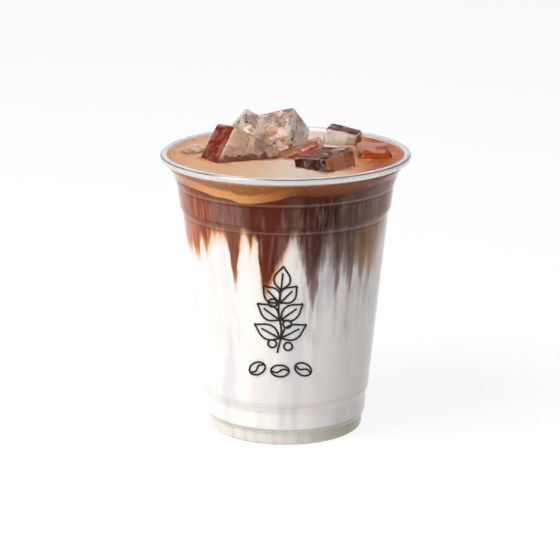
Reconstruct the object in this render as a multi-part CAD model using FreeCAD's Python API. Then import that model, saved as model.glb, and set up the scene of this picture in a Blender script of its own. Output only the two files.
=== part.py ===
import FreeCAD, Part
import math
import os
from itertools import product

Vector = FreeCAD.Vector

# An iced latte in its clear cold cup. Millimetres, +Z up, origin on the table at the cup's axis, -Y to the front.
# The cup is one thin formed sheet. The drink lies in three layers that follow its inside, coffee runs down the
# wall into the milk in streaks, and eight blocks of ice stand out of the foam.

# Cup, overall
CUP_HEIGHT = 111.0
RIM_DIAMETER = 98.0
FOOT_DIAMETER = 61.2
SHEET = 0.5

# Cup rim: the sheet flares out, turns over and rolls under itself
ROLL_RADIUS = 1.5
ROLL_LIP = 0.5              # free edge of the roll to the wall
THROAT_HEIGHT = 4.0         # rim top down to where the wall stands upright
THROAT_OUT = 2.2
THROAT_RISE = 3.2
FLARE_OUT = 1.85
FLARE_RISE = 5.6
COLLAR_OUT = 0.9
COLLAR_RISE = 7.8
SHOULDER_OUT = 1.2          # step that holds the next cup of a stack
SHOULDER_RISE = 3.2

# Cup base: foot band, two grip bands, ring foot round a raised floor
FOOT_CORNER = 1.3
FOOT_BAND_HEIGHT = 4.9
LOW_STEP_OUT = 1.1
LOW_STEP_RISE = 2.0
GRIP_BAND_HEIGHT = 6.6
HIGH_STEP_OUT = 0.95
HIGH_STEP_RISE = 3.1
BAND_DRAFT = 0.05           # radius gained for each millimetre of height
FOOT_RING_WIDTH = 3.4
FOOT_RING_DRAFT = 0.9
FLOOR_RISE = 3.2
DISC_DIAMETER = 24.0
DISC_RISE = 0.6
EDGE_ROUND = 0.9
STEP_ROUND = 1.2
SHOULDER_ROUND = 1.2
FLARE_ROUND = 4.0

# Drink levels, down from the rim's top
FILL_DEPTH = 2.0
FOAM_DEPTH = 8.5
COFFEE_DEPTH = 27.0

# Coffee streaks in the milk: (degrees round the cup, length, half width), 270 is the front
STREAKS = [
    (210, 11.0, 3.2),
    (222, 7.5, 3.6),
    (239, 20.5, 3.2),
    (250, 8.0, 4.5),
    (259, 25.0, 6.2),
    (276, 9.0, 4.0),
    (288, 24.5, 7.2),
    (304, 19.5, 3.2),
    (318, 17.0, 3.2),
    (328, 16.5, 3.0),
    (341, 8.0, 4.0),
]
STREAK_TIP = 1.6            # radius of a streak's round end
STREAK_ROOT = 1.0           # how far a streak starts up inside the coffee
STREAK_WAIST = 0.62         # width at the neck, as a share of the root's
STREAK_NECK = 0.4           # the neck's place, as a share of the length
BACK_SHORT = 0.8

# Lobes of foam hanging into the coffee, as above
FOAM_LOBES = [
    (196, 1.4, 9.0),
    (226, 2.4, 8.0),
    (248, 1.8, 8.0),
    (284, 0.9, 9.0),
    (325, 1.6, 10.0),
]

# Ice: place (x, y, height over the drink's face), size, turn (yaw, pitch, roll) and skew of each block,
# drawn for a mouth of this radius and scaled with the mouth
ICE_MOUTH_RADIUS = 46.0
ICE_ROUND = 1.8
ICE_BLOCKS = {
    "front_left": ((-18.0, -5.0, 0.5), (22.0, 18.0, 13.0), (10, 31, -107), -5.0),
    "back_left": ((-15.1, 30.2, 0.1), (19.0, 15.0, 13.5), (158, 53, -119), 0.0),
    "top": ((-1.8, 11.8, 5.2), (16.0, 15.0, 17.0), (-101, 36, -69), 0.0),
    "slab": ((6.0, -2.2, 1.5), (18.0, 10.0, 5.8), (171, 22, -9), 0.0),
    "back_right": ((22.5, 23.0, 0.0), (14.0, 9.0, 13.0), (-15, 10, 3), 0.0),
    "right": ((34.0, 0.5, -2.0), (13.0, 13.0, 11.0), (8, 4, -170), 0.0),
    "front_right": ((15.4, -19.4, -1.5), (18.0, 17.0, 15.0), (51, -5, -7), 0.0),
    "left": ((-36.0, 7.0, -2.5), (7.5, 10.0, 9.0), (141, -10, 168), 0.0),
}

# Worked out from the sizes above
HALF_SHEET = SHEET / 2
MOUTH_RADIUS = RIM_DIAMETER / 2 - 2 * ROLL_RADIUS
FOOT_RADIUS = FOOT_DIAMETER / 2
FILL_LEVEL = CUP_HEIGHT - FILL_DEPTH
FOAM_BASE = CUP_HEIGHT - FOAM_DEPTH
COFFEE_BASE = CUP_HEIGHT - COFFEE_DEPTH


def base_path():
    """Middle of the sheet from the axis out over the floor and up both grip bands: (radius, height, rounding)."""
    floor = FLOOR_RISE + HALF_SHEET
    foot = FOOT_RADIUS - HALF_SHEET
    ring = FOOT_RADIUS - FOOT_RING_WIDTH
    low_step = FOOT_BAND_HEIGHT + LOW_STEP_RISE
    high_step = low_step + GRIP_BAND_HEIGHT
    low_radius = foot + BAND_DRAFT * FOOT_BAND_HEIGHT
    grip_radius = low_radius + LOW_STEP_OUT
    high_radius = grip_radius + BAND_DRAFT * GRIP_BAND_HEIGHT
    return [
        (0, floor + DISC_RISE, 0),
        (DISC_DIAMETER / 2, floor + DISC_RISE, EDGE_ROUND),
        (DISC_DIAMETER / 2 + DISC_RISE, floor, EDGE_ROUND),
        (ring - FOOT_RING_DRAFT, floor, EDGE_ROUND),
        (ring, HALF_SHEET, EDGE_ROUND),
        (foot, HALF_SHEET, FOOT_CORNER - HALF_SHEET),
        (low_radius, FOOT_BAND_HEIGHT, STEP_ROUND / 2),
        (grip_radius, low_step, STEP_ROUND / 2),
        (high_radius, high_step, STEP_ROUND),
        (high_radius + HIGH_STEP_OUT, high_step + HIGH_STEP_RISE, STEP_ROUND),
    ]


def neck_path():
    """Middle of the sheet from the top of the main wall over the shoulder, the collar and the flare to the mouth."""
    radius = MOUTH_RADIUS + HALF_SHEET
    height = CUP_HEIGHT - THROAT_HEIGHT
    points = [(radius, height, ROLL_RADIUS)]
    stages = [
        (THROAT_OUT, THROAT_RISE, FLARE_ROUND),
        (FLARE_OUT, FLARE_RISE, SHOULDER_ROUND),
        (COLLAR_OUT, COLLAR_RISE, SHOULDER_ROUND),
        (SHOULDER_OUT, SHOULDER_RISE, SHOULDER_ROUND),
    ]
    for out, rise, rounding in stages:
        radius -= out
        height -= rise
        points.insert(0, (radius, height, rounding))
    return points


def roll_path():
    """Middle of the sheet over the rolled rim: three rounded corners make the roll, and its lip stays free."""
    inner = MOUTH_RADIUS + HALF_SHEET
    outer = RIM_DIAMETER / 2 - HALF_SHEET
    top = CUP_HEIGHT - HALF_SHEET
    bottom = CUP_HEIGHT - 2 * ROLL_RADIUS + HALF_SHEET
    bend = ROLL_RADIUS - HALF_SHEET
    return [
        (inner, top, bend),
        (outer, top, bend),
        (outer, bottom, bend),
        (inner + HALF_SHEET + ROLL_LIP, bottom, 0),
    ]


def shifted(path, distance):
    """The path moved sideways to the left of its run, its roundings kept concentric."""
    points = [Vector(r, z, 0) for r, z, _ in path]
    runs = [(b - a).normalize() for a, b in zip(points, points[1:])]
    runs = [runs[0]] + runs + [runs[-1]]
    moved = []
    for point, (_, _, rounding), before, after in zip(points, path, runs, runs[1:]):
        left = Vector(-before.y - after.y, before.x + after.x, 0)
        point = point + left * (distance / (1 + before.dot(after)))
        turn = before.cross(after).z
        if rounding:
            rounding -= distance * math.copysign(1, turn)
        moved.append((point.x, point.y, rounding))
    return moved


def rounded_edges(path):
    """Lines through the path's points in the XZ plane, with a tangent arc at each point that has a rounding."""
    points = [Vector(r, 0, z) for r, z, _ in path]
    edges = []
    start = points[0]
    for i in range(1, len(path) - 1):
        back = (points[i - 1] - points[i]).normalize()
        on = (points[i + 1] - points[i]).normalize()
        radius = path[i][2]
        half = back.getAngle(on) / 2
        enter = points[i] + back * (radius / math.tan(half))
        leave = points[i] + on * (radius / math.tan(half))
        middle = points[i] + (back + on).normalize() * (radius / math.sin(half) - radius)
        if (enter - start).Length > 1e-6:
            edges.append(Part.makeLine(start, enter))
        edges.append(Part.Arc(enter, middle, leave).toShape())
        start = leave
    edges.append(Part.makeLine(start, points[-1]))
    return edges


def turned(edges):
    """Solid of revolution about the cup's axis from a closed loop of edges."""
    wire = Part.Wire(Part.__sortEdges__(edges))
    return Part.Face(wire).revolve(Vector(0, 0, 0), Vector(0, 0, 1), 360)


def make_cup():
    """The whole cup as one sheet, rolled rim to raised floor."""
    path = base_path() + neck_path() + roll_path()
    inside = rounded_edges(shifted(path, HALF_SHEET))
    outside = rounded_edges(shifted(path, -HALF_SHEET))
    ends = [
        Part.makeLine(inside[0].firstVertex().Point, outside[0].firstVertex().Point),
        Part.makeLine(inside[-1].lastVertex().Point, outside[-1].lastVertex().Point),
    ]
    return turned(inside + ends + outside)


def inside_of_cup():
    """All the space that the sheet encloses, straight up to the rim's top."""
    path = base_path() + neck_path() + roll_path()[:1]
    edges = rounded_edges(shifted(path, HALF_SHEET))
    low = edges[0].firstVertex().Point
    high = edges[-1].lastVertex().Point
    axis_top = Vector(0, 0, high.z)
    return turned(edges + [Part.makeLine(high, axis_top), Part.makeLine(axis_top, low)])


def slab(low, high):
    """A disc wider than the cup between two heights."""
    return Part.makeCylinder(RIM_DIAMETER, high - low, Vector(0, 0, low))


def on_wall(angle, height):
    """Placement on the wall at an angle round the cup and a height: Z runs up the wall and X points outwards."""
    low_radius, low, _ = base_path()[-1]
    high_radius, high, _ = neck_path()[0]
    slope = (high_radius - low_radius) / (high - low)
    radius = min(low_radius + slope * (height - low), MOUTH_RADIUS)
    turn = FreeCAD.Rotation(angle, math.degrees(math.atan(slope)), 0)
    ray = FreeCAD.Rotation(angle, 0, 0).multVec(Vector(radius, 0, height))
    return FreeCAD.Placement(ray, turn)


def streak(angle, length, half_width):
    """A drip down the wall from the coffee's lower face: wide at its root, waisted, with a round end."""
    profile = [
        (half_width, STREAK_ROOT, 0),
        (half_width * STREAK_WAIST, -length * STREAK_NECK, half_width),
        (STREAK_TIP, -length, STREAK_TIP),
        (0, -length, 0),
    ]
    edges = rounded_edges(profile)
    axis_top = Vector(0, 0, STREAK_ROOT)
    edges.append(Part.makeLine(edges[-1].lastVertex().Point, axis_top))
    edges.append(Part.makeLine(axis_top, edges[0].firstVertex().Point))
    drip = turned(edges)
    drip.Placement = on_wall(angle, COFFEE_BASE)
    return drip


def lobe(angle, length, half_width):
    """A shallow bulge of foam: the part of a ball that hangs under the foam's lower face."""
    radius = (half_width ** 2 + length ** 2) / (2 * length)
    ball = Part.makeSphere(radius, Vector(0, 0, radius - length))
    ball.Placement = on_wall(angle, FOAM_BASE)
    return ball


def front_and_back(make, rows):
    """One piece for each row, and the same again half a turn round with every other one shorter."""
    pieces = []
    for number, (angle, length, half_width) in enumerate(rows):
        pieces.append(make(angle, length, half_width))
        back_length = length * (BACK_SHORT if number % 2 else 1)
        pieces.append(make(angle + 180, back_length, half_width))
    return pieces


def ice_block(place, size, turn, skew):
    """One block with flat faces and melted edges. Skew slides its last face along its first direction."""
    scale = MOUTH_RADIUS / ICE_MOUTH_RADIUS
    x, y, above = place
    centre = Vector(x, y, above) * scale + Vector(0, 0, FILL_LEVEL)
    placement = FreeCAD.Placement(centre, FreeCAD.Rotation(*turn))
    length, width, height = [side * scale / 2 for side in size]
    corners = {}
    for i, j, k in product((-1, 1), repeat=3):
        corner = Vector(i * length + k * skew * scale / 2, j * width, k * height)
        corners[i, j, k] = placement.multVec(corner)
    faces = []
    for axis, side in product(range(3), (-1, 1)):
        ring = []
        for first, second in ((-1, -1), (-1, 1), (1, 1), (1, -1)):
            key = [first, second]
            key.insert(axis, side)
            ring.append(corners[tuple(key)])
        faces.append(Part.Face(Part.makePolygon(ring + ring[:1])))
    block = Part.Solid(Part.Shell(faces))
    return block.makeFillet(ICE_ROUND * scale, block.Edges)


def make_drink(ice):
    """Milk, coffee and foam: layers of the cup's inside, each fitted to the next, the wall and the ice."""
    inside = inside_of_cup()
    milk_space = inside.common(slab(0, COFFEE_BASE))
    coffee_space = inside.common(slab(COFFEE_BASE, FOAM_BASE))
    foam_space = inside.common(slab(FOAM_BASE, FILL_LEVEL))
    streaks = [milk_space.common(drip) for drip in front_and_back(streak, STREAKS)]
    lobes = [coffee_space.common(bulge) for bulge in front_and_back(lobe, FOAM_LOBES)]
    layers = {
        "milk": milk_space.cut(streaks),
        "coffee": coffee_space.cut(lobes).multiFuse(streaks),
        "crema": foam_space.multiFuse(lobes),
    }
    return {name: layer.cut(ice).removeSplitter() for name, layer in layers.items()}


def main():
    os.makedirs("parts", exist_ok=True)
    ice = {"ice_" + name: ice_block(*row) for name, row in ICE_BLOCKS.items()}
    shapes = {"cup": make_cup()}
    shapes.update(make_drink(list(ice.values())))
    shapes.update(ice)
    for name, shape in shapes.items():
        if len(shape.Solids) == 1:
            shape = shape.Solids[0]
        print(name, "solids", len(shape.Solids), "valid", shape.isValid(), "volume", round(shape.Volume))
        shape.exportStep("parts/" + name + ".step")


main()
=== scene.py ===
import math
import random

import bmesh
import bpy
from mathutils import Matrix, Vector, noise
from mathutils.bvhtree import BVHTree


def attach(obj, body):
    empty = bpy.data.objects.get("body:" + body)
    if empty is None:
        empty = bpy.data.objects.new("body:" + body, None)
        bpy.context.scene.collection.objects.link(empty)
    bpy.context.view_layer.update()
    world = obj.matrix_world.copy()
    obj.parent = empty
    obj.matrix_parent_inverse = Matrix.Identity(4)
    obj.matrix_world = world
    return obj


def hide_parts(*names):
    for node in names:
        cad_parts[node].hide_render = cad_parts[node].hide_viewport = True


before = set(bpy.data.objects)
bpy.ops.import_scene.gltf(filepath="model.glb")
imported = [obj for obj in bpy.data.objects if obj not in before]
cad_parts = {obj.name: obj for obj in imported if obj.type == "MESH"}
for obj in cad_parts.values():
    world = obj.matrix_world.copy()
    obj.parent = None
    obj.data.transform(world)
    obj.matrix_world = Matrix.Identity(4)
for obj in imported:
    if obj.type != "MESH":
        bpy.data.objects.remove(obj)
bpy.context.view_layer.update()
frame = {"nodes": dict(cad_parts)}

# An iced latte in a clear cold cup. Metres, +Z up, the cup's axis at the origin, -Y to the front.
# Heights and radii below are in millimetres. Degrees go round the cup, 0 at the front and + to
# the right.
MM = 0.001

# Middle of the cup's sheet, where the drink's skin lies: (radius, height, rounding)
FLOOR = [(26.3, 3.45, 0.9), (27.2, 0.25, 0.9), (30.35, 0.25, 1.05)]
BANDS = [(30.6, 4.9, 0.6), (31.7, 6.9, 0.6), (32.03, 13.5, 1.2), (32.98, 16.6, 1.2)]
NECK = [
    (40.1, 87.2, 1.2), (41.3, 90.4, 1.2), (42.2, 98.2, 1.2), (44.05, 103.8, 4.0),
    (46.25, 107.0, 1.5),
]
HALF_SHEET = 0.25
MOUTH = 92.0            # across the foam
TURN_STEPS = 240        # straight sides round each ring of a turned piece
RING_BEVELS = 3
SMOOTH_ANGLE = 35       # degrees at which two faces still shade as one

# The rolled rim: where its white, a painted reflection of the light caught in the roll, fades in,
# and its fine lines, between two heights or two radii
ROLL_FADE = (107.2, 108.6)
ROLL_CREASE = (110.3, 110.55)
CREASE_FADE = (47.8, 48.1)
ROLL_SEAM = (107.8, 108.1)
INNER_SEAM = (46.2, 46.35)
SEAM_FADE = (107.0, 107.4)

# The drink's levels. The solid milk ends under the streaks, which are painted on the coffee's wall
FILL_LEVEL = 109.0
FOAM_BASE = 101.6
MILK_TOP = 56.0
FOAM_RINGS = 80         # rings of the foam's upper face
WALL_RISE = (0.7, 0.9)  # how far the foam climbs at the wall, and over what width
ICE_RISE = (0.5, 0.9)   # the same at the ice
AMBER_WIDTH = 2.5       # reach of the amber round the ice

# Heights between which the coffee's look changes
COFFEE_SPAN = (55.0, 95.0)      # of its lower edge
FOAM_SPAN = (90.0, 110.0)       # of its upper edge
LOW_TO_HIGH = (84.0, 92.0)
VEIL_FADE = (104.0, 92.0)

# Ice: mesh size, hollows and ripples as (size, depth), and how far it reaches into the drink
ICE_VOXEL = 0.4
ICE_MELT = ((9.0, 0.9), (2.6, 0.12))
ICE_TUCK = 0.1

# Bubbles: how many, their radii before a power makes small ones common, how far they gather
# from the ice and from the wall, and the chance of one elsewhere
BUBBLE_COUNT = 260
BUBBLE_RADII = (0.14, 0.5)
BUBBLE_POWER = 1.2
BUBBLE_REACH = (2.0, 1.2)
BUBBLE_STRAY = 0.04

# Print: its middle in degrees, its line's width and how far it stands off the wall
PRINT_TURN = -3.5
PRINT_LINE = 0.85
PRINT_LIFT = 0.05
PRINT_FLAT = 0.08       # the line's thickness as a share of its width

# Light of the surround on surfaces and as it is seen, and the glow of the floor as it is seen
SURROUND_LIT = 0.28
SURROUND_SEEN = 1.0
FLOOR_GLOW = 0.86

# Lamps: name, degrees from the front, degrees over the floor, distance and size in metres, watts
LAMPS = (
    ("key_left", -57, 54, 1.2, 0.7, 8.7),
    ("fill_right", 75, 25, 1.4, 0.8, 0.3),
)

# Camera: place and aim in metres, focal length in millimetres
CAMERA_PLACE = (0, -0.8662, 0.2993)
CAMERA_AIM = (-0.0022, 0, 0.0587)
CAMERA_LENS = 145.8

# Lower edge of the coffee and of the foam: (degrees, height)
COFFEE_EDGE = [
    (-180, 82), (-172, 70), (-166, 79), (-158, 63), (-150, 84), (-144, 78), (-137, 86), (-128, 68),
    (-121, 84), (-112, 80), (-104, 72), (-97, 83), (-88, 80), (-79, 77), (-70, 75), (-65, 77),
    (-60, 74), (-57, 76), (-54, 82), (-50.5, 78), (-47, 83), (-43, 85), (-37, 85.5), (-34.5, 83),
    (-31.5, 70), (-30, 65.5), (-28, 72), (-25, 84), (-21.5, 88), (-20, 80), (-17.5, 86), (-15, 80),
    (-11.5, 64), (-8, 68), (-4, 75), (-1.5, 77.5), (1, 83), (4.5, 86.5), (7.5, 81), (11.5, 73),
    (16.5, 61.5), (19, 67), (21, 76), (25, 79), (28, 74), (31, 66.5), (34, 76), (37, 70),
    (40, 65.5), (43, 76), (46, 72), (49, 68.5), (52, 71.5), (56, 69), (63, 76), (70, 80),
    (76, 83), (85, 79), (93, 70), (101, 83), (110, 76), (118, 62), (126, 80), (135, 86),
    (143, 73), (150, 66), (158, 84), (166, 80), (173, 85), (180, 82),
]
FOAM_EDGE = [
    (-180, 102), (-150, 100.5), (-120, 102.5), (-90, 101), (-63, 102.3), (-49, 102), (-38, 101),
    (-29, 100.7), (-22, 99.3), (-12, 100.2), (-5, 101.3), (0, 102.6), (7, 103.4), (17, 102.6),
    (28, 102.4), (40, 103), (55, 104), (75, 105), (95, 103), (120, 101), (145, 102.5), (180, 102),
]


class Value:
    """A shader socket in a sum: an expression on values adds its Math nodes."""

    def __init__(self, paint, socket):
        self.paint = paint
        self.socket = socket

    def math(self, operation, *others):
        return self.paint.add("Math", dict(enumerate((self, *others))), operation=operation)

    def output(self, key):
        """Another output of the same node."""
        return Value(self.paint, self.socket.node.outputs[key])

    def __add__(self, other):
        return self.math("ADD", other)

    def __sub__(self, other):
        return self.math("SUBTRACT", other)

    def __rsub__(self, other):
        return (self * -1) + other

    def __mul__(self, other):
        return self.math("MULTIPLY", other)

    def __truediv__(self, other):
        return self.math("DIVIDE", other)

    __radd__ = __add__
    __rmul__ = __mul__


class Paint:
    """The nodes of a material, or of a world, added one by one."""

    def __init__(self, name, library=bpy.data.materials):
        self.owner = library.new(name)
        self.owner.use_nodes = True
        self.tree = self.owner.node_tree
        self.tree.nodes.clear()

    def add(self, kind, inputs=None, out=0, stops=None, points=None, **settings):
        """Adds a node: its settings, then its sockets' values or links. Returns an output."""
        node = self.tree.nodes.new("ShaderNode" + kind)
        for key, setting in settings.items():
            setattr(node, key, setting)
        if stops:
            ramp = node.color_ramp
            while len(ramp.elements) < len(stops):
                ramp.elements.new(1)
            for element, (place, colour) in zip(ramp.elements, stops):
                element.position = place
                element.color = (*colour, 1)
        if points:
            curve = node.mapping.curves[0]
            while len(curve.points) < len(points):
                curve.points.new(1, 1)
            for point, place in zip(curve.points, points):
                point.location = place
                point.handle_type = "AUTO_CLAMPED"
            node.mapping.update()
        for key, value in (inputs or {}).items():
            if isinstance(value, Value):
                self.tree.links.new(value.socket, node.inputs[key])
            else:
                node.inputs[key].default_value = value
        return Value(self, node.outputs[out]) if node.outputs else None

    def place(self):
        """Object coordinates in millimetres, as x, y and z."""
        parts = self.add("SeparateXYZ", {0: self.add("TexCoord", out="Object")})
        return [parts.output(i) / MM for i in range(3)]

    def noise(self, x, y, z, scale=1.0, detail=3.0, rough=0.5):
        at = self.add("CombineXYZ", {0: x, 1: y, 2: z})
        inputs = {"Vector": at, "Scale": scale, "Detail": detail, "Roughness": rough}
        return self.add("TexNoise", inputs)

    def rise(self, value, low, high):
        """0 up to low, 1 from high, smooth between. It falls instead if low is above high."""
        inputs = {"Value": value, "From Min": low, "From Max": high}
        if low > high:
            inputs.update({"From Min": high, "From Max": low, "To Min": 1.0, "To Max": 0.0})
        return self.add("MapRange", inputs, interpolation_type="SMOOTHSTEP")

    def mix(self, factor, first, second):
        """One colour into another."""
        inputs = {0: factor, 6: rgba(first), 7: rgba(second)}
        return self.add("Mix", inputs, out=2, data_type="RGBA")

    def ramp(self, value, stops):
        return self.add("ValToRGB", {0: value}, stops=stops)

    def band(self, value, low, high, soft):
        """1 between low and high, fading over soft on both sides."""
        return self.rise(value, low - soft, low) * self.rise(value, high + soft, high)

    def curve(self, value, rows, low, high):
        """Height from degrees by rows of both, smooth between them."""
        points = [((turn + 180) / 360, (height - low) / (high - low)) for turn, height in rows]
        share = self.add("FloatCurve", {"Value": (value + 180) / 360}, points=points)
        return share * (high - low) + low

    def attribute(self, name):
        """A number that the mesh keeps at its points."""
        return self.add("Attribute", attribute_name=name, attribute_type="GEOMETRY", out="Fac")

    def vector(self, operation, inputs, out=0):
        return self.add("VectorMath", inputs, out, operation=operation)

    def bump(self, height, distance, strength=1.0):
        return self.add("Bump", {"Height": height, "Distance": distance * MM, "Strength": strength})

    def skin(self, **inputs):
        """The Principled shader."""
        sockets = {key.replace("_", " "): value for key, value in inputs.items()}
        return self.add("BsdfPrincipled", sockets)

    def blend(self, share, first, second):
        """One shader into another."""
        return self.add("MixShader", {0: share, 1: first, 2: second})

    def clear_through(self, glass):
        """Glass that lets lamps through."""
        lamp = self.add("LightPath", out="Is Shadow Ray")
        return self.blend(lamp, glass, self.add("BsdfTransparent"))

    def on_view(self):
        """1 for what is seen directly, mirrored or through something clear, else 0."""
        camera = self.add("LightPath", out="Is Camera Ray")
        seen = camera.math("MAXIMUM", camera.output("Is Glossy Ray"))
        return seen.math("MAXIMUM", camera.output("Is Transmission Ray"))

    def done(self, shader, kind="OutputMaterial"):
        self.add(kind, {"Surface": shader})
        return self.owner


def rgba(colour):
    return (*colour, 1) if isinstance(colour, tuple) else colour


def srgb(red, green, blue):
    """A colour given as on a screen, 0 to 255."""
    shares = (red / 255, green / 255, blue / 255)
    return tuple(s / 12.92 if s <= 0.04045 else ((s + 0.055) / 1.055) ** 2.4 for s in shares)


# Where the wall's bends show as lines: (height, share of shade, share of light)
WALL_LINES = [
    (97.9, 0.45, 0.2), (89.9, 0.3, 0.0), (86.7, 0.25, 0.16), (16.3, 0.1, 0.3), (6.6, 0.2, 0.0),
]
LINE_SHADE = srgb(60, 36, 28)
LINE_LIGHT = srgb(214, 190, 172)

# Clear sheet, print and stage
WHITE = (1.0, 1.0, 1.0)
GLASS_TINT = (0.3, 0.3, 0.3)
RIM_GREY = srgb(104, 106, 110)
INK = srgb(22, 20, 20)
WORN_INK = srgb(34, 31, 30)
FLOOR_PALE = srgb(238, 238, 238)
FLOOR_SPECK = srgb(242, 242, 242)
FLOOR_SHADED = (0.25, 0.25, 0.25)

# Milk
CREAM = srgb(252, 249, 243)
MILK_SHADE = srgb(222, 218, 226)
MILK_ROSE = srgb(238, 226, 226)
# painted shade on the milk's right side
MILK_RIGHT_SHADE = srgb(190, 183, 182)
# coffee veils in the milk, with painted shade below the coffee
MILK_VEIL_AND_SHADE = srgb(150, 138, 150)
MILK_WARM = srgb(250, 234, 208)
# The foot band: its beige and its darker right side are painted shade.
FOOT_LINE = (7.2, 6.4)
FOOT_MILK = srgb(240, 235, 224)
FOOT_SHADE = srgb(182, 176, 162)
FOOT_STRIPE = srgb(206, 190, 176)

# Coffee
COFFEE_VEIL = srgb(176, 146, 132)
COFFEE_DARK = srgb(78, 32, 18)
COFFEE_PALE = srgb(226, 156, 108)
COFFEE_HAZE = srgb(160, 142, 138)

# Foam and bubbles
FOAM_UPPER = srgb(158, 86, 40)
FROTH_DARK = srgb(110, 54, 24)
FROTH_PALE = srgb(246, 206, 156)
FOAM_UNDER = srgb(120, 52, 22)
CREMA_NEAR_ICE = srgb(196, 112, 54)
CREMA_PALE = srgb(240, 214, 190)
BUBBLE_DARK = srgb(196, 128, 80)
BUBBLE_PALE = srgb(240, 212, 186)
BUBBLE_CLEAR = srgb(250, 236, 220)

# Colours across the drink from its left, -90, to its right, 90: (degrees, colour). The back has
# those of the front. The ramps of the wall pale at both ends as a painted sheen where the sheet
# turns away, and the foam's side darkens towards the right as painted shade.
COFFEE_HIGH = [
    (-90, srgb(214, 176, 158)), (-76, srgb(190, 128, 104)), (-60, srgb(160, 84, 56)),
    (-46, srgb(148, 70, 42)), (-41, srgb(146, 104, 92)), (-24, srgb(140, 98, 88)),
    (-18, srgb(104, 44, 30)), (-3, srgb(110, 42, 28)), (1, srgb(100, 60, 50)),
    (6, srgb(110, 72, 60)), (9, srgb(72, 36, 26)), (16, srgb(88, 40, 26)),
    (20, srgb(60, 30, 21)), (27, srgb(62, 32, 24)), (31, srgb(94, 68, 60)),
    (46, srgb(104, 80, 74)), (57, srgb(118, 98, 92)), (63, srgb(112, 66, 46)),
    (75, srgb(134, 88, 62)), (90, srgb(186, 160, 146)),
]
COFFEE_LOW = [
    (-90, srgb(214, 174, 152)), (-70, srgb(186, 116, 88)), (-60, srgb(176, 96, 56)),
    (-50, srgb(168, 84, 38)), (-42, srgb(160, 80, 44)), (-34, srgb(146, 86, 66)),
    (-28, srgb(142, 84, 66)), (-22, srgb(156, 118, 96)), (-17, srgb(112, 48, 34)),
    (-6, srgb(106, 44, 32)), (0, srgb(140, 92, 80)), (4, srgb(120, 84, 72)),
    (10, srgb(92, 48, 38)), (20, srgb(86, 50, 44)), (28, srgb(94, 70, 64)),
    (38, srgb(98, 78, 70)), (47, srgb(124, 88, 56)), (57, srgb(150, 104, 66)),
    (70, srgb(158, 138, 118)), (90, srgb(196, 176, 160)),
]
COFFEE_TIP = [
    (-90, srgb(226, 196, 168)), (-62, srgb(222, 164, 106)), (-48, srgb(212, 140, 78)),
    (-30, srgb(204, 146, 96)), (-13, srgb(224, 160, 92)), (-2, srgb(190, 140, 112)),
    (8, srgb(152, 124, 120)), (20, srgb(146, 122, 122)), (34, srgb(150, 126, 120)),
    (46, srgb(150, 122, 100)), (57, srgb(186, 136, 84)), (90, srgb(206, 190, 174)),
]
# Painted shade: the foam's side darkens towards the right.
FOAM_SIDE = [
    (-90, srgb(236, 192, 156)), (-62, srgb(226, 148, 88)), (-42, srgb(246, 184, 116)),
    (-22, srgb(240, 174, 104)), (-6, srgb(204, 130, 70)), (8, srgb(140, 76, 38)),
    (30, srgb(132, 68, 34)), (56, srgb(136, 74, 34)), (74, srgb(160, 88, 44)),
    (90, srgb(196, 140, 100)),
]
CREMA_TOP = [
    (-90, srgb(232, 166, 116)), (-40, srgb(252, 196, 152)), (-12, srgb(255, 212, 178)),
    (6, srgb(255, 240, 224)), (25, srgb(255, 228, 204)), (36, srgb(236, 156, 100)),
    (50, srgb(176, 86, 36)), (90, srgb(200, 116, 60)),
]

# Down the faces sunk round the ice: foam, amber, then dark coffee
PIT_DEPTHS = [
    (0.0, srgb(206, 150, 108)), (0.16, srgb(170, 86, 32)), (0.3, srgb(112, 40, 14)),
    (0.5, srgb(64, 22, 10)), (1.0, srgb(32, 12, 8)),
]
PIT_HEIGHTS = (109.5, 101.5)

# Ice
PALE = srgb(253, 243, 233)
ROSY = srgb(255, 222, 206)
STRAW = srgb(246, 228, 200)
PEACH = srgb(248, 222, 204)
AMBER = srgb(244, 124, 18)
RUST = srgb(140, 38, 2)
DEEP_RED = srgb(104, 28, 8)
DARK_BROWN = srgb(64, 26, 22)
ICE_VEIN = srgb(84, 52, 40)
ICE_FROST = srgb(255, 244, 238)
ICE_GLINT = srgb(255, 252, 248)
# white painted highlight along the ice's edges
ICE_EDGE_HIGHLIGHT = srgb(255, 248, 242)

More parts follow.
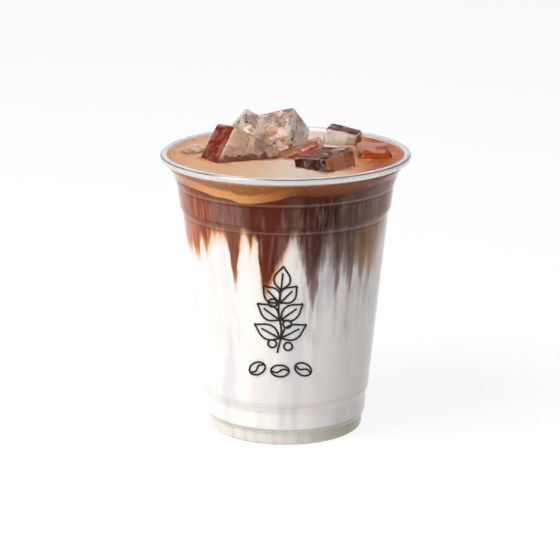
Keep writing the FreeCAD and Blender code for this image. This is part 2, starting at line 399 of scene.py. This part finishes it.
# Each block of ice: its clear part's colour, its foot's colour and how high over the drink that
# reaches, its stained or cloudy faces as (direction, colour, share), then the strength of its
# veins and of its frost
ICE_LOOKS = {
    "front_left": (
        PALE, srgb(128, 58, 26), 4.2,
        [
            ((-0.68, -0.47, 0.57), RUST, 1.2),
            ((0.26, -0.92, 0.28), ROSY, 0.6),
            ((0.4, 0.35, 0.85), DEEP_RED, 0.5),
        ],
        0.3, 0.8,
    ),
    "back_left": (
        PALE, srgb(206, 164, 130), 1.0,
        [((-0.79, -0.2, 0.58), STRAW, 0.35), ((0.56, -0.23, 0.8), PEACH, 0.55)],
        0.7, 0.4,
    ),
    "top": (
        PALE, srgb(160, 80, 48), 2.4,
        [
            ((-0.44, -0.41, 0.8), srgb(250, 234, 220), 0.14),
            ((0.89, -0.33, 0.33), srgb(255, 250, 246), 1.5),
            ((-0.19, -0.83, -0.53), srgb(236, 176, 140), 0.2),
        ],
        1.0, 0.5,
    ),
    "slab": (
        PALE, srgb(120, 42, 18), 1.2,
        [
            ((-0.03, -0.99, -0.12), srgb(190, 84, 20), 0.9),
            ((-0.32, -0.11, 0.94), srgb(172, 98, 72), 0.6),
        ],
        0.6, 0.4,
    ),
    "back_right": (
        PALE, srgb(96, 46, 36), 0.4,
        [
            ((-0.33, -0.94, -0.04), srgb(255, 248, 236), 0.65),
            ((0.1, -0.1, 0.99), DEEP_RED, 1.1),
            ((0.93, -0.32, -0.18), DEEP_RED, 0.8),
        ],
        0.4, 0.2,
    ),
    "right": (
        srgb(252, 190, 110), RUST, 0.4,
        [
            ((0.05, -0.98, -0.17), AMBER, 1.0),
            ((0.02, -0.17, 0.98), srgb(214, 92, 14), 1.0),
            ((-0.99, -0.14, 0.07), DEEP_RED, 0.8),
        ],
        0.15, 0.1,
    ),
    "front_right": (
        srgb(246, 210, 192), srgb(86, 34, 26), 0.8,
        [
            ((-0.63, -0.77, -0.09), DARK_BROWN, 1.1),
            ((0.72, -0.69, 0.11), srgb(212, 132, 100), 0.9),
            ((-0.19, -0.05, 0.98), srgb(140, 48, 26), 0.45),
        ],
        0.45, 0.4,
    ),
    "left": (
        srgb(252, 226, 204), srgb(176, 118, 84), 1.2,
        [
            ((-0.81, 0.57, 0.16), srgb(238, 204, 164), 1.2),
            ((0.06, -0.31, 0.95), srgb(248, 222, 188), 1.2),
        ],
        0.3, 0.2,
    ),
}


def clear_sheet():
    """The cup's thin clear plastic, painted white where it is rolled at the rim as a reflection of
    the light caught in the roll.
    """
    paint = Paint("clear_sheet")
    x, y, z = paint.place()
    radius = (x * x + y * y).math("SQRT")
    waves = paint.noise(x, y, z * 0.3, 0.25, 2.0)
    sheet = paint.skin(
        Base_Color=rgba(WHITE),
        Roughness=0.03,
        IOR=1.3,
        Specular_Tint=rgba(GLASS_TINT),
        Transmission_Weight=1.0,
        Normal=paint.bump(waves, 0.15, 0.3),
    )
    crease = paint.band(z, *ROLL_CREASE, 0.2) * paint.rise(radius, *CREASE_FADE)
    seam = paint.band(radius, *INNER_SEAM, 0.2) * 0.5 + paint.band(z, *ROLL_SEAM, 0.3) * 0.6
    lines = crease + seam * paint.rise(z, *SEAM_FADE)
    colour = paint.mix(lines, WHITE, RIM_GREY)
    # Painted reflection: the rolled lip shows white, with its fine grey lines.
    white = paint.skin(Base_Color=colour, Roughness=0.2, Metallic=0.65)
    patchy = paint.noise(x, y, z, 0.2) * 0.3 + 0.4
    share = paint.rise(z, *ROLL_FADE) * patchy + lines * 0.2
    return paint.done(paint.clear_through(paint.blend(share, sheet, white)))


def by_turn(paint, across, rows):
    """Colour by the place across the cup, 0 at its left and 1 at its right."""
    stops = [((math.sin(math.radians(turn)) + 1) / 2, colour) for turn, colour in rows]
    return paint.ramp(across, stops)


def milk_colour(paint, x, y, z, across):
    """Cream white with soft upright veils and painted shade towards the right, and a beige foot
    band darkened as painted shade, more so to the right.
    """
    veils = paint.rise(paint.noise(x, y, z * 0.14, 0.11, 3.0), 0.46, 0.72)
    rose = paint.rise(paint.noise(y, x, z * 0.25, 0.06, 2.0), 0.52, 0.7)
    milk = paint.mix(veils * 0.65, CREAM, MILK_SHADE)
    milk = paint.mix(rose * 0.5, milk, MILK_ROSE)
    # Painted shade on the foot band, darker towards the right.
    foot = paint.mix(paint.rise(across, 0.5, 0.95), FOOT_MILK, FOOT_SHADE)
    stripes = paint.rise(paint.noise(x, y, z * 0.02, 0.3, 2.0), 0.4, 0.65)
    foot = paint.mix(stripes * 0.35, foot, FOOT_STRIPE)
    # Painted shade: the milk greys towards the right, away from the light.
    milk = paint.mix(paint.rise(across, 0.55, 1.0) * 0.5, milk, MILK_RIGHT_SHADE)
    return paint.mix(paint.rise(z, *FOOT_LINE) * 0.9, milk, foot)


def coffee_colour(paint, x, y, z, depth, across, wisps, hairs):
    """Coffee by its place across the cup and its height, with veils of milk drawn through it."""
    shift = across + wisps * 0.05
    high = by_turn(paint, shift, COFFEE_HIGH)
    low = by_turn(paint, shift, COFFEE_LOW)
    tip = by_turn(paint, shift, COFFEE_TIP)
    body = paint.mix(paint.rise(z + wisps * 14, *LOW_TO_HIGH), low, high)
    veils = paint.rise(paint.noise(x, y, z * 0.1, 0.5, 3.0), 0.5, 0.74)
    veils = veils * paint.rise(z, *VEIL_FADE)
    body = paint.mix(veils * 0.3, body, COFFEE_VEIL)
    body = paint.mix(paint.rise(hairs, 0.04, 0.2) * 0.4, body, COFFEE_DARK)
    left = paint.rise(across, 0.3, 0.05)
    pale = paint.rise(hairs, -0.04, -0.16) * (left * 0.3 + 0.12)
    body = paint.mix(pale, body, COFFEE_PALE)
    return paint.mix(paint.rise(depth + wisps * 3, 0.4, 4.0), tip, body)


def step_lines(paint, colour, z):
    """Soft lines of shade and light where the wall bends."""
    for height, dark, light in WALL_LINES:
        shade = paint.band(z, height, height + 0.2, 0.5)
        colour = paint.mix(shade * dark, colour, LINE_SHADE)
        shine = paint.band(z, height + 1.0, height + 1.3, 0.6)
        colour = paint.mix(shine * light, colour, LINE_LIGHT)
    return colour


def layers_colour(paint, x, y, z):
    """Milk, coffee and foam as they show through the wall."""
    turn = paint.add("Math", {0: x, 1: y * -1}, operation="ARCTAN2") * math.degrees(1)
    radius = (x * x + y * y).math("SQRT")
    across = x / radius * 0.5 + 0.5
    wander = paint.noise(x, y, z, 0.16, 2.0) - 0.5
    wisps = paint.noise(x, y, z * 0.12, 0.45, 3.0) - 0.5
    hairs = paint.noise(x, y, z * 0.08, 0.7, 3.0) - 0.5
    edge = paint.curve(turn + wander * 3, COFFEE_EDGE, *COFFEE_SPAN)
    depth = z - edge + wisps * 5 + hairs * 3

    right = paint.rise(across, 0.5, 0.66)
    milk = milk_colour(paint, x, y, z, across)
    # Mauve-grey veils of coffee in the milk below its edge, with painted shade there, stronger
    # towards the right.
    veil_and_shade = paint.rise(depth + hairs * 30, -26.0, -2.0) * paint.rise(wisps, -0.12, 0.12)
    milk = paint.mix(veil_and_shade * (right * 0.4 + 0.06), milk, MILK_VEIL_AND_SHADE)
    warm = paint.rise(depth + wander * 16, -9.0, 0.0) * (1 - right)
    milk = paint.mix(warm * 0.4, milk, MILK_WARM)
    halo = paint.mix(0.4, milk, by_turn(paint, across, COFFEE_TIP))
    milk = paint.mix(paint.rise(depth, -5.0, 0.0), milk, halo)
    coffee = coffee_colour(paint, x, y, z, depth / (right * 2.5 + 1), across, wisps, hairs)
    haze = right * paint.rise(hairs + wisps * 0.6, -0.02, 0.24)
    coffee = paint.mix(haze * 0.4, coffee, COFFEE_HAZE)
    softness = right * 4.0 + 0.9
    in_coffee = paint.rise((depth + hairs * right * 22) / softness, -1.0, 1.0)
    colour = paint.mix(in_coffee, milk, coffee)

    foam_depth = z - paint.curve(turn, FOAM_EDGE, *FOAM_SPAN) + wander * 1.2 + hairs * 0.8
    foam = by_turn(paint, across + wisps * 0.04, FOAM_SIDE)
    foam = paint.mix(paint.rise(foam_depth, 2.6, 4.2) * 0.7, foam, FOAM_UPPER)
    froth = paint.noise(x, y, z, 1.3, 3.0, 0.65)
    foam = paint.mix(paint.rise(froth, 0.55, 0.75) * 0.4, foam, FROTH_DARK)
    foam = paint.mix(paint.rise(froth, 0.42, 0.3) * 0.45, foam, FROTH_PALE)
    colour = paint.mix(paint.rise(foam_depth, -2.2, -0.2) * 0.5, colour, FOAM_UNDER)
    colour = paint.mix(paint.rise(foam_depth, -0.3, 0.3), colour, foam)
    return step_lines(paint, colour, z)


def drink_finish():
    """Milk, coffee and the foam's edge where they lie against the wall."""
    paint = Paint("drink_at_wall")
    colour = layers_colour(paint, *paint.place())
    return paint.done(paint.skin(Base_Color=colour, Roughness=0.5, Specular_IOR_Level=0.0))


def crema_finish():
    """The foam's upper face: pale, amber towards the ice and the right."""
    paint = Paint("crema_top")
    x, y, z = paint.place()
    cloud = paint.noise(x, y, z, 0.14, 4.0, 0.6) - 0.5
    top = by_turn(paint, x / MOUTH + 0.5 + cloud * 0.12, CREMA_TOP)
    near_ice = paint.attribute("near_ice")
    # The foam turns amber and darker towards the ice.
    top = paint.mix(paint.rise(near_ice + cloud * 1.6, 0.45, 1.0) * 0.85, top, CREMA_NEAR_ICE)
    top = paint.mix(paint.rise(cloud, 0.05, 0.2) * 0.35, top, CREMA_PALE)
    at = paint.add("TexCoord", out="Object")
    froth = paint.add("TexVoronoi", {"Vector": at, "Scale": 1.4 / MM})
    skin = paint.skin(
        Base_Color=top,
        Roughness=0.35,
        Specular_IOR_Level=0.08,
        Normal=paint.bump(froth, 0.05, 0.35),
    )
    return paint.done(skin)


def pit_finish():
    """Drink that lies against the sunk faces of the ice: foam, then amber, then dark coffee."""
    paint = Paint("drink_at_ice")
    x, y, z = paint.place()
    depth = paint.rise(z + (paint.noise(x, y, z, 0.25, 3.0) - 0.5) * 3, *PIT_HEIGHTS)
    colour = paint.ramp(depth, PIT_DEPTHS)
    return paint.done(paint.skin(Base_Color=colour, Roughness=0.4, Specular_IOR_Level=0.2))


def ice_finish(name, look):
    """One block of ice: angular gleams, cloudy or stained faces, and its worn edges painted with
    highlights and dark lines.
    """
    own, foot, foot_rise, faces, veins, frosting = look
    paint = Paint("ice_" + name)
    x, y, z = paint.place()
    uneven = paint.noise(x, y, z, 0.14, 2.0) - 0.5
    fine = paint.noise(x, y, z, 0.4, 2.0) - 0.5
    normal = paint.add("NewGeometry", out="Normal")
    colour = own
    share = stained = 0.0
    for direction, face_colour, face_share in faces:
        inputs = {0: normal, 1: Vector(direction).normalized()}
        on_face = paint.rise(paint.vector("DOT_PRODUCT", inputs, "Value"), 0.72, 0.86)
        colour = paint.mix(on_face, colour, face_colour)
        share = on_face * face_share + share
        stained = on_face * min(face_share * 1.5, 1.0) + stained

    at = paint.add("CombineXYZ", {0: x + uneven * 5, 1: y + fine * 3, 2: z * 1.2 + uneven * 4})
    cells = paint.add("TexVoronoi", {"Vector": at, "Scale": 0.2}, out="Color")
    tilt = paint.vector("SUBTRACT", {0: cells, 1: (0.5, 0.5, 0.5)})
    tilt = paint.vector("SCALE", {0: tilt, "Scale": 0.6})
    broken = paint.vector("NORMALIZE", {0: paint.vector("ADD", {0: normal, 1: tilt})})
    gleam = paint.add("SeparateXYZ", {0: cells}, out="X")
    light = gleam.output("Y")
    colour = paint.mix(paint.rise(gleam, 0.4, 0.1) * 0.4, colour, foot)
    # Painted reflections: lighter rosy patches where facets catch the light.
    colour = paint.mix(paint.rise(light, 0.6, 0.8) * (0.4 - stained * 0.25), colour, ROSY)
    share = share * (gleam * 0.5 + 0.7 + fine * 0.6)

    frost = paint.rise(uneven + fine * 0.5, 0.0, 0.2) * frosting * (1 - stained * 0.7)
    colour = paint.mix(frost * 0.6, colour, ICE_FROST)
    low = paint.rise(z + uneven * 12 + fine * 5 - FILL_LEVEL, foot_rise, foot_rise - 2.4)
    colour = paint.mix(low * 0.85, colour, foot)
    vein = (paint.noise(x, y, z, 0.16, 1.5) - 0.5).math("ABSOLUTE")
    marks = paint.rise(vein, 0.045, 0.012) * paint.rise(fine, 0.0, 0.1) * veins
    colour = paint.mix(marks * 0.9, colour, ICE_VEIN)
    glint = (paint.noise(y, z, x, 0.15, 1.5) - 0.5).math("ABSOLUTE")
    glints = paint.rise(glint, 0.035, 0.01) * paint.rise(fine, 0.02, -0.08) * veins
    colour = paint.mix(glints * (0.9 - stained * 0.5), colour, ICE_GLINT)
    # Painted highlights and shade on the rounded edges: white where bright, dark lines in the
    # foot's colour elsewhere.
    worn_and_edge_light = paint.rise(paint.attribute("edge"), 0.06, 0.2)
    bright = paint.rise(fine + uneven, -0.06, 0.04)
    colour = paint.mix(worn_and_edge_light * bright * 0.85, colour, ICE_EDGE_HIGHLIGHT)
    colour = paint.mix(worn_and_edge_light * (1 - bright) * 0.6, colour, foot)
    share = share + (low * 0.8 + marks * 0.5 + glints * 0.45 + worn_and_edge_light * 0.3 + frost * 0.3)
    clear = paint.skin(
        Base_Color=paint.mix(stained, own, colour),
        Roughness=frost * 0.3 + 0.01,
        IOR=1.31,
        Transmission_Weight=1.0,
        Normal=broken,
    )
    cloudy = paint.skin(
        Base_Color=colour,
        Roughness=0.04,
        Specular_IOR_Level=0.06,
        Subsurface_Weight=0.85,
        Subsurface_Radius=(1.0, 0.7, 0.5),
        Subsurface_Scale=7 * MM,
        Normal=broken,
    )
    both = paint.blend(paint.add("Clamp", {0: share}), clear, cloudy)
    return paint.done(paint.clear_through(both))


def ink_finish():
    paint = Paint("print_ink")
    x, y, z = paint.place()
    worn_and_edge_light = paint.noise(x, y, z, 1.1, 3.0)
    colour = paint.mix(paint.rise(worn_and_edge_light, 0.3, 0.7), INK, WORN_INK)
    roughness = worn_and_edge_light * 0.2 + 0.3
    return paint.done(paint.skin(Base_Color=colour, Roughness=roughness, Specular_IOR_Level=0.3))


def deselect():
    bpy.ops.object.select_all(action="DESELECT")


def work_on(piece):
    deselect()
    piece.select_set(True)
    bpy.context.view_layer.objects.active = piece


def dress(piece, *finishes):
    """Gives a piece its materials."""
    piece.data.materials.clear()
    for finish in finishes:
        piece.data.materials.append(finish)


def tree_of(piece):
    return BVHTree.FromObject(piece, bpy.context.evaluated_depsgraph_get())


def gap_to(trees, spot):
    """Millimetres from a place to the nearest of some surfaces."""
    return min(tree.find_nearest(spot)[3] for tree in trees) / MM


def ring_up(rows):
    """Extrudes the selected face through the rows of radius and height."""
    radius, height = rows[0][:2]
    for row in rows[1:]:
        rise = (row[1] - height) * MM
        bpy.ops.mesh.extrude_region_move(TRANSFORM_OT_translate={"value": (0, 0, rise)})
        share = row[0] / radius
        bpy.ops.transform.resize(value=(share, share, 1))
        radius, height = row[:2]


def round_rings(piece, rows):
    """Rounds each ring of edges that has a radius for it."""
    for before, (radius, height, rounding), after in zip(rows, rows[1:], rows[2:]):
        if not rounding:
            continue
        entering = math.atan2(height - before[1], radius - before[0])
        leaving = math.atan2(after[1] - height, after[0] - radius)
        reach = rounding * abs(math.tan((leaving - entering) / 2))
        mesh = bmesh.from_edit_mesh(piece.data)
        bpy.ops.mesh.select_all(action="DESELECT")
        for edge in mesh.edges:
            places = [(v.co.xy.length / MM, v.co.z / MM) for v in edge.verts]
            on_ring = all(abs(r - radius) < 0.05 and abs(z - height) < 0.01 for r, z in places)
            edge.select_set(on_ring)
        bmesh.update_edit_mesh(piece.data)
        bpy.ops.mesh.bevel(offset=reach * MM, segments=RING_BEVELS, profile=0.5, affect="EDGES")


def turned_piece(name, rows):
    """A closed piece of rings on the cup's axis."""
    deselect()
    radius, height = rows[0][:2]
    bpy.ops.mesh.primitive_circle_add(
        vertices=TURN_STEPS, radius=radius * MM, fill_type="NGON", location=(0, 0, height * MM)
    )
    piece = bpy.context.active_object
    piece.name = name
    bpy.ops.object.transform_apply(location=True, rotation=True, scale=True)
    bpy.ops.object.mode_set(mode="EDIT")
    bpy.ops.mesh.select_mode(type="EDGE")
    bpy.ops.mesh.select_all(action="SELECT")
    ring_up(rows)
    round_rings(piece, rows)
    bpy.ops.mesh.select_all(action="SELECT")
    bpy.ops.mesh.normals_make_consistent(inside=False)
    bpy.ops.object.mode_set(mode="OBJECT")
    return piece


def settle(piece, slot, *nodes):
    """The piece goes with the cup and stands for its CAD nodes."""
    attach(piece, "root")
    if nodes:
        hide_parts(*nodes)


def wall_radius(height):
    """Radius of the sheet's middle at a height."""
    path = BANDS + NECK
    for before, after in zip(path, path[1:]):
        if before[1] <= height <= after[1]:
            share = (height - before[1]) / (after[1] - before[1])
            return before[0] + (after[0] - before[0]) * share
    return path[-1][0]


def wall_between(low, high):
    """Rows of the wall's path between two heights."""
    inner = [row for row in BANDS + NECK if low < row[1] < high]
    return [(wall_radius(low), low, 0)] + inner + [(wall_radius(high), high, 0)]


def shrunk_copy(node, by):
    """A copy of an object, its doubles merged, pulled in along its normals."""
    piece = node.copy()
    piece.data = node.data.copy()
    bpy.context.collection.objects.link(piece)
    for key in list(piece.keys()):
        del piece[key]
    work_on(piece)
    bpy.ops.object.mode_set(mode="EDIT")
    bpy.ops.mesh.select_all(action="SELECT")
    bpy.ops.mesh.customdata_custom_splitnormals_clear()
    bpy.ops.mesh.remove_doubles(threshold=0.00001)
    bpy.ops.mesh.normals_make_consistent(inside=False)
    if by:
        bpy.ops.transform.shrink_fatten(value=-by * MM)
    bpy.ops.object.mode_set(mode="OBJECT")
    return piece


def modify(piece, kind, **settings):
    """Adds a modifier and applies it."""
    work_on(piece)
    modifier = piece.modifiers.new(kind.lower(), kind)
    for key, value in settings.items():
        setattr(modifier, key, value)
    bpy.ops.object.modifier_apply(modifier=modifier.name)


def cut_for_ice(piece, ice, finish):
    """Sinks a pit for each block of ice, its walls in their own finish."""
    for block in ice:
        cutter = shrunk_copy(block, ICE_TUCK)
        dress(cutter, finish)
        settings = {"operation": "DIFFERENCE", "solver": "EXACT", "material_mode": "TRANSFER"}
        modify(piece, "BOOLEAN", object=cutter, **settings)
        bpy.data.objects.remove(cutter)


def make_crema(side, top, ice):
    """The foam: fine rings over its upper face, drawn up a little at the wall and at the ice."""
    rows = wall_between(FOAM_BASE, FILL_LEVEL)
    radius = rows[-1][0]
    for ring in range(1, FOAM_RINGS + 1):
        rows.append((radius * (1 - ring / (FOAM_RINGS + 1)), FILL_LEVEL, 0))
    piece = turned_piece("crema_layer", rows)
    dress(piece, side, top)
    mesh = piece.data
    upper = (FILL_LEVEL - 0.1) * MM
    for face in mesh.polygons:
        face.material_index = int(face.center.z > upper)
    near_ice = mesh.attributes.new("near_ice", "FLOAT", "POINT")
    trees = [tree_of(block) for block in ice]
    for vertex in mesh.vertices:
        if vertex.co.z < upper:
            continue
        gap = gap_to(trees, vertex.co)
        wall_gap = radius - vertex.co.xy.length / MM
        near_ice.data[vertex.index].value = math.exp(-gap / AMBER_WIDTH)
        at_ice = ICE_RISE[0] * math.exp(-gap / ICE_RISE[1])
        at_wall = WALL_RISE[0] * math.exp(-wall_gap / WALL_RISE[1])
        swell = noise.noise(vertex.co * 160) * 0.15
        vertex.co.z += (at_ice + at_wall + swell) * MM
    return piece


def make_ice(node, finish):
    """A block worn by melting: the node's shape with hollows and ripples."""
    piece = shrunk_copy(node, 0)
    piece.name = node.name.replace("ice_", "ice_block_")
    dress(piece, finish)
    modify(piece, "REMESH", mode="VOXEL", voxel_size=ICE_VOXEL * MM)
    for size, depth in ICE_MELT:
        pattern = bpy.data.textures.new("melt", "CLOUDS")
        pattern.noise_scale = size * MM
        pattern.noise_depth = 1
        settings = {"texture": pattern, "texture_coords": "LOCAL", "mid_level": 0.5}
        modify(piece, "DISPLACE", strength=depth * MM, **settings)
    modify(piece, "SMOOTH", factor=0.5, iterations=2)
    work_on(piece)
    bpy.ops.object.shade_smooth()
    plain = tree_of(node)
    edge = piece.data.attributes.new("edge", "FLOAT", "POINT")
    for vertex in piece.data.vertices:
        face_normal = plain.find_nearest(vertex.co)[1]
        edge.data[vertex.index].value = 1 - face_normal.dot(vertex.normal)
    return piece


def build_drink(nodes):
    """Ice first, then the layers with a pit for each block, then the bubbles between them."""
    ice = []
    for name, node in nodes.items():
        if not name.startswith("ice_"):
            continue
        look = name.removeprefix("ice_")
        piece = make_ice(node, ice_finish(look, ICE_LOOKS[look]))
        settle(piece, "ice", node.name)
        ice.append(piece)
    at_wall, at_ice = drink_finish(), pit_finish()
    milk = turned_piece("milk_body", FLOOR + BANDS + [(wall_radius(MILK_TOP), MILK_TOP, 0)])
    coffee = turned_piece("coffee_layer", wall_between(MILK_TOP, FOAM_BASE))
    for piece in (milk, coffee):
        dress(piece, at_wall)
    crema = make_crema(at_wall, crema_finish(), ice)
    for piece in (coffee, crema):
        cut_for_ice(piece, ice, at_ice)
    layers = ((milk, "milk", "milk"), (coffee, "coffee", "coffee"), (crema, "foam", "crema"))
    for piece, slot, node in layers:
        work_on(piece)
        bpy.ops.object.shade_smooth_by_angle(angle=math.radians(SMOOTH_ANGLE))
        settle(piece, slot, node)
    make_bubbles(crema, ice)


def on_wall(across, height, out):
    """A place on the print's plane laid round the cup, out from its outer face."""
    radius = wall_radius(height) + HALF_SHEET + out
    turn = math.radians(PRINT_TURN) + across / radius
    return Vector((math.sin(turn) * radius, -math.cos(turn) * radius, height)) * MM


def ink_stroke(name, strokes, width):
    """Lines of one width drawn on the upright plane: each is its points and whether it closes."""
    deselect()
    bpy.ops.curve.primitive_bezier_curve_add(location=(0, 0, 0))
    piece = bpy.context.active_object
    piece.name = name
    lines = piece.data
    lines.splines.clear()
    for points, closed in strokes:
        line = lines.splines.new("BEZIER")
        line.bezier_points.add(len(points) - 1)
        for point, (across, height) in zip(line.bezier_points, points):
            point.co = (across, 0, height)
            point.handle_left_type = point.handle_right_type = "AUTO"
        line.use_cyclic_u = closed
    lines.resolution_u = 8
    lines.bevel_depth = width / 2
    lines.bevel_resolution = 1
    lines.use_fill_caps = True
    bpy.ops.object.convert(target="MESH")
    piece = bpy.context.active_object
    for vertex in piece.data.vertices:
        across, out, height = vertex.co
        vertex.co = on_wall(across, height, PRINT_LIFT - out * PRINT_FLAT)
    bpy.ops.object.mode_set(mode="EDIT")
    bpy.ops.mesh.select_all(action="SELECT")
    bpy.ops.mesh.normals_make_consistent(inside=False)
    bpy.ops.object.mode_set(mode="OBJECT")
    return piece


def directions(lean):
    """Along and across a motif that leans by some degrees from upright."""
    along = Vector((math.sin(math.radians(lean)), math.cos(math.radians(lean))))
    return along, Vector((along.y, -along.x))


def oval_stroke(at, lean, length, width, points):
    """A closed line round a place."""
    along, side = directions(lean)
    ring = []
    for number in range(points):
        turn = math.tau * number / points
        out = along * math.cos(turn) * length / 2 + side * math.sin(turn) * width / 2
        ring.append(Vector(at) + out)
    return ring, True


def leaf_strokes(at, lean, length, half_width):
    """A leaf's two sides and its midrib, from its foot."""
    along, side = directions(lean)
    foot = Vector(at)
    tip = foot + along * length
    strokes = [((foot, foot + along * length * 0.72), False)]
    for hand in (-1, 1):
        belly = foot + along * length * 0.42 + side * hand * half_width
        strokes.append(((foot, belly, tip), False))
    return strokes


def bean_strokes(at, lean, length):
    """A bean seen from its flat side: an oval and its wavy crease."""
    along, side = directions(lean)
    crease = []
    for share, sway in ((-0.46, 0.02), (-0.2, 0.1), (0.2, -0.1), (0.46, -0.02)):
        crease.append(Vector(at) + along * length * share + side * length * sway)
    return [oval_stroke(at, lean, length, length * 0.68, 8), (crease, False)]


def make_print():
    """A coffee sprig with cherries over three beans, printed in black on the outer wall."""
    stem = ((-1.0, 39.5), (0.6, 48.0), (-0.4, 57.0), (0.6, 65.5))
    strokes = [(stem, False)]
    strokes += leaf_strokes((0.6, 65.0), 6, 10.0, 3.1)
    for height, lean, length in ((45.5, 62, 11.5), (53.0, 54, 11.0), (60.0, 44, 9.5)):
        for hand in (-1, 1):
            strokes += leaf_strokes((0.2, height), hand * lean, length, 3.0)
    for cherry in ((-2.9, 43.3), (3.2, 42.2), (-2.6, 60.0), (2.9, 51.4)):
        strokes.append(oval_stroke(cherry, 0, 3.2, 3.2, 6))
    for bean, lean in (((-9.0, 32.5), 58), ((0.0, 32.0), 90), ((9.0, 32.5), 122)):
        strokes += bean_strokes(bean, lean, 7.0)
    piece = ink_stroke("print_sprig", strokes, PRINT_LINE)
    dress(piece, ink_finish())
    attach(piece, "root")


def bubble_finish():
    """Thin bubbles of foam: amber glassy skins."""
    paint = Paint("bubble_skin")
    x, y, z = paint.place()
    tone = paint.noise(x, y, z, 0.5, 2.0)
    colour = paint.mix(paint.rise(tone, 0.35, 0.65), BUBBLE_DARK, BUBBLE_PALE)
    skin = paint.skin(Base_Color=colour, Roughness=0.1)
    clear = paint.skin(
        Base_Color=rgba(BUBBLE_CLEAR), Roughness=0.02, IOR=1.2, Transmission_Weight=1.0
    )
    share = paint.rise(tone, 0.2, 0.8) * 0.4 + 0.3
    return paint.done(paint.clear_through(paint.blend(share, clear, skin)))


def make_bubbles(crema, ice):
    """Small bubbles that gather on the foam at the wall and round the ice."""
    random.seed(7)
    trees = [tree_of(block) for block in ice]
    surface = tree_of(crema)
    edge_radius = wall_radius(FILL_LEVEL)
    bubbles = []
    while len(bubbles) < BUBBLE_COUNT:
        radius = edge_radius * math.sqrt(random.random())
        turn = random.uniform(-math.pi, math.pi)
        spot = Vector((math.sin(turn) * radius, -math.cos(turn) * radius, FILL_LEVEL)) * MM
        gap = gap_to(trees, spot)
        wall_gap = edge_radius - radius
        near = math.exp(-gap / BUBBLE_REACH[0]) + math.exp(-wall_gap / BUBBLE_REACH[1])
        size = random.uniform(*BUBBLE_RADII) ** BUBBLE_POWER
        hit = surface.ray_cast(spot + Vector((0, 0, 3 * MM)), Vector((0, 0, -1)), 8 * MM)[0]
        if random.random() > near + BUBBLE_STRAY or gap < size or wall_gap < size or hit is None:
            continue
        if hit.z < (FILL_LEVEL - 1) * MM:
            continue
        bubbles.append((hit, size))
    deselect()
    pieces = []
    for spot, size in bubbles:
        bpy.ops.mesh.primitive_ico_sphere_add(subdivisions=2, radius=size * MM, location=spot)
        pieces.append(bpy.context.active_object)
    for piece in pieces:
        piece.select_set(True)
    bpy.ops.object.join()
    piece = bpy.context.active_object
    piece.name = "foam_bubbles"
    bpy.ops.object.transform_apply(location=True, rotation=True, scale=True)
    bpy.ops.object.shade_smooth()
    dress(piece, bubble_finish())
    settle(piece, "foam")


def make_stage():
    """Plain pale floor and a white surround."""
    deselect()
    bpy.ops.mesh.primitive_plane_add(size=6.0, location=(0, 0, 0))
    floor = bpy.context.active_object
    floor.name = "floor"
    paint = Paint("floor")
    x, y, z = paint.place()
    pale = paint.mix(paint.noise(x, y, z, 0.02, 2.0), FLOOR_PALE, FLOOR_SPECK)
    plain = paint.skin(Base_Color=pale, Roughness=0.9, Specular_IOR_Level=0.0)
    shown = paint.skin(
        Base_Color=rgba(FLOOR_SHADED),
        Roughness=0.9,
        Specular_IOR_Level=0.0,
        Emission_Color=rgba(WHITE),
        Emission_Strength=FLOOR_GLOW,
    )
    dress(floor, paint.done(paint.blend(paint.on_view(), plain, shown)))

    surround = Paint("surround", bpy.data.worlds)
    inputs = {"Value": surround.on_view(), "To Min": SURROUND_LIT, "To Max": SURROUND_SEEN}
    strength = surround.add("MapRange", inputs)
    background = surround.add("Background", {"Strength": strength})
    bpy.context.scene.world = surround.done(background, "OutputWorld")


def area_light(name, turn, height, distance, size, power):
    """A soft lamp facing the cup, at some degrees from the front and over the floor."""
    around = math.radians(turn)
    above = math.radians(height)
    aim = Vector((0, 0, 60 * MM))     # the cup's middle
    level = math.cos(above)
    ray = Vector((math.sin(around) * level, -math.cos(around) * level, math.sin(above)))
    bpy.ops.object.light_add(type="AREA", location=aim + ray * distance)
    lamp = bpy.context.active_object
    lamp.name = name
    lamp.rotation_euler = (-ray).to_track_quat("-Z", "Y").to_euler()
    lamp.data.shape = "DISK"
    lamp.data.size = size
    lamp.data.energy = power


def make_camera():
    bpy.ops.object.camera_add(location=CAMERA_PLACE)
    camera = bpy.context.active_object
    aim = Vector(CAMERA_AIM)
    camera.rotation_euler = (aim - camera.location).to_track_quat("-Z", "Y").to_euler()
    camera.data.lens = CAMERA_LENS
    camera.data.sensor_width = 36
    bpy.context.scene.camera = camera


dress(frame["nodes"]["cup"], clear_sheet())
build_drink(frame["nodes"])
make_print()
make_stage()
for lamp_row in LAMPS:
    area_light(*lamp_row)
make_camera()
bpy.context.scene.view_settings.view_transform = "Standard"
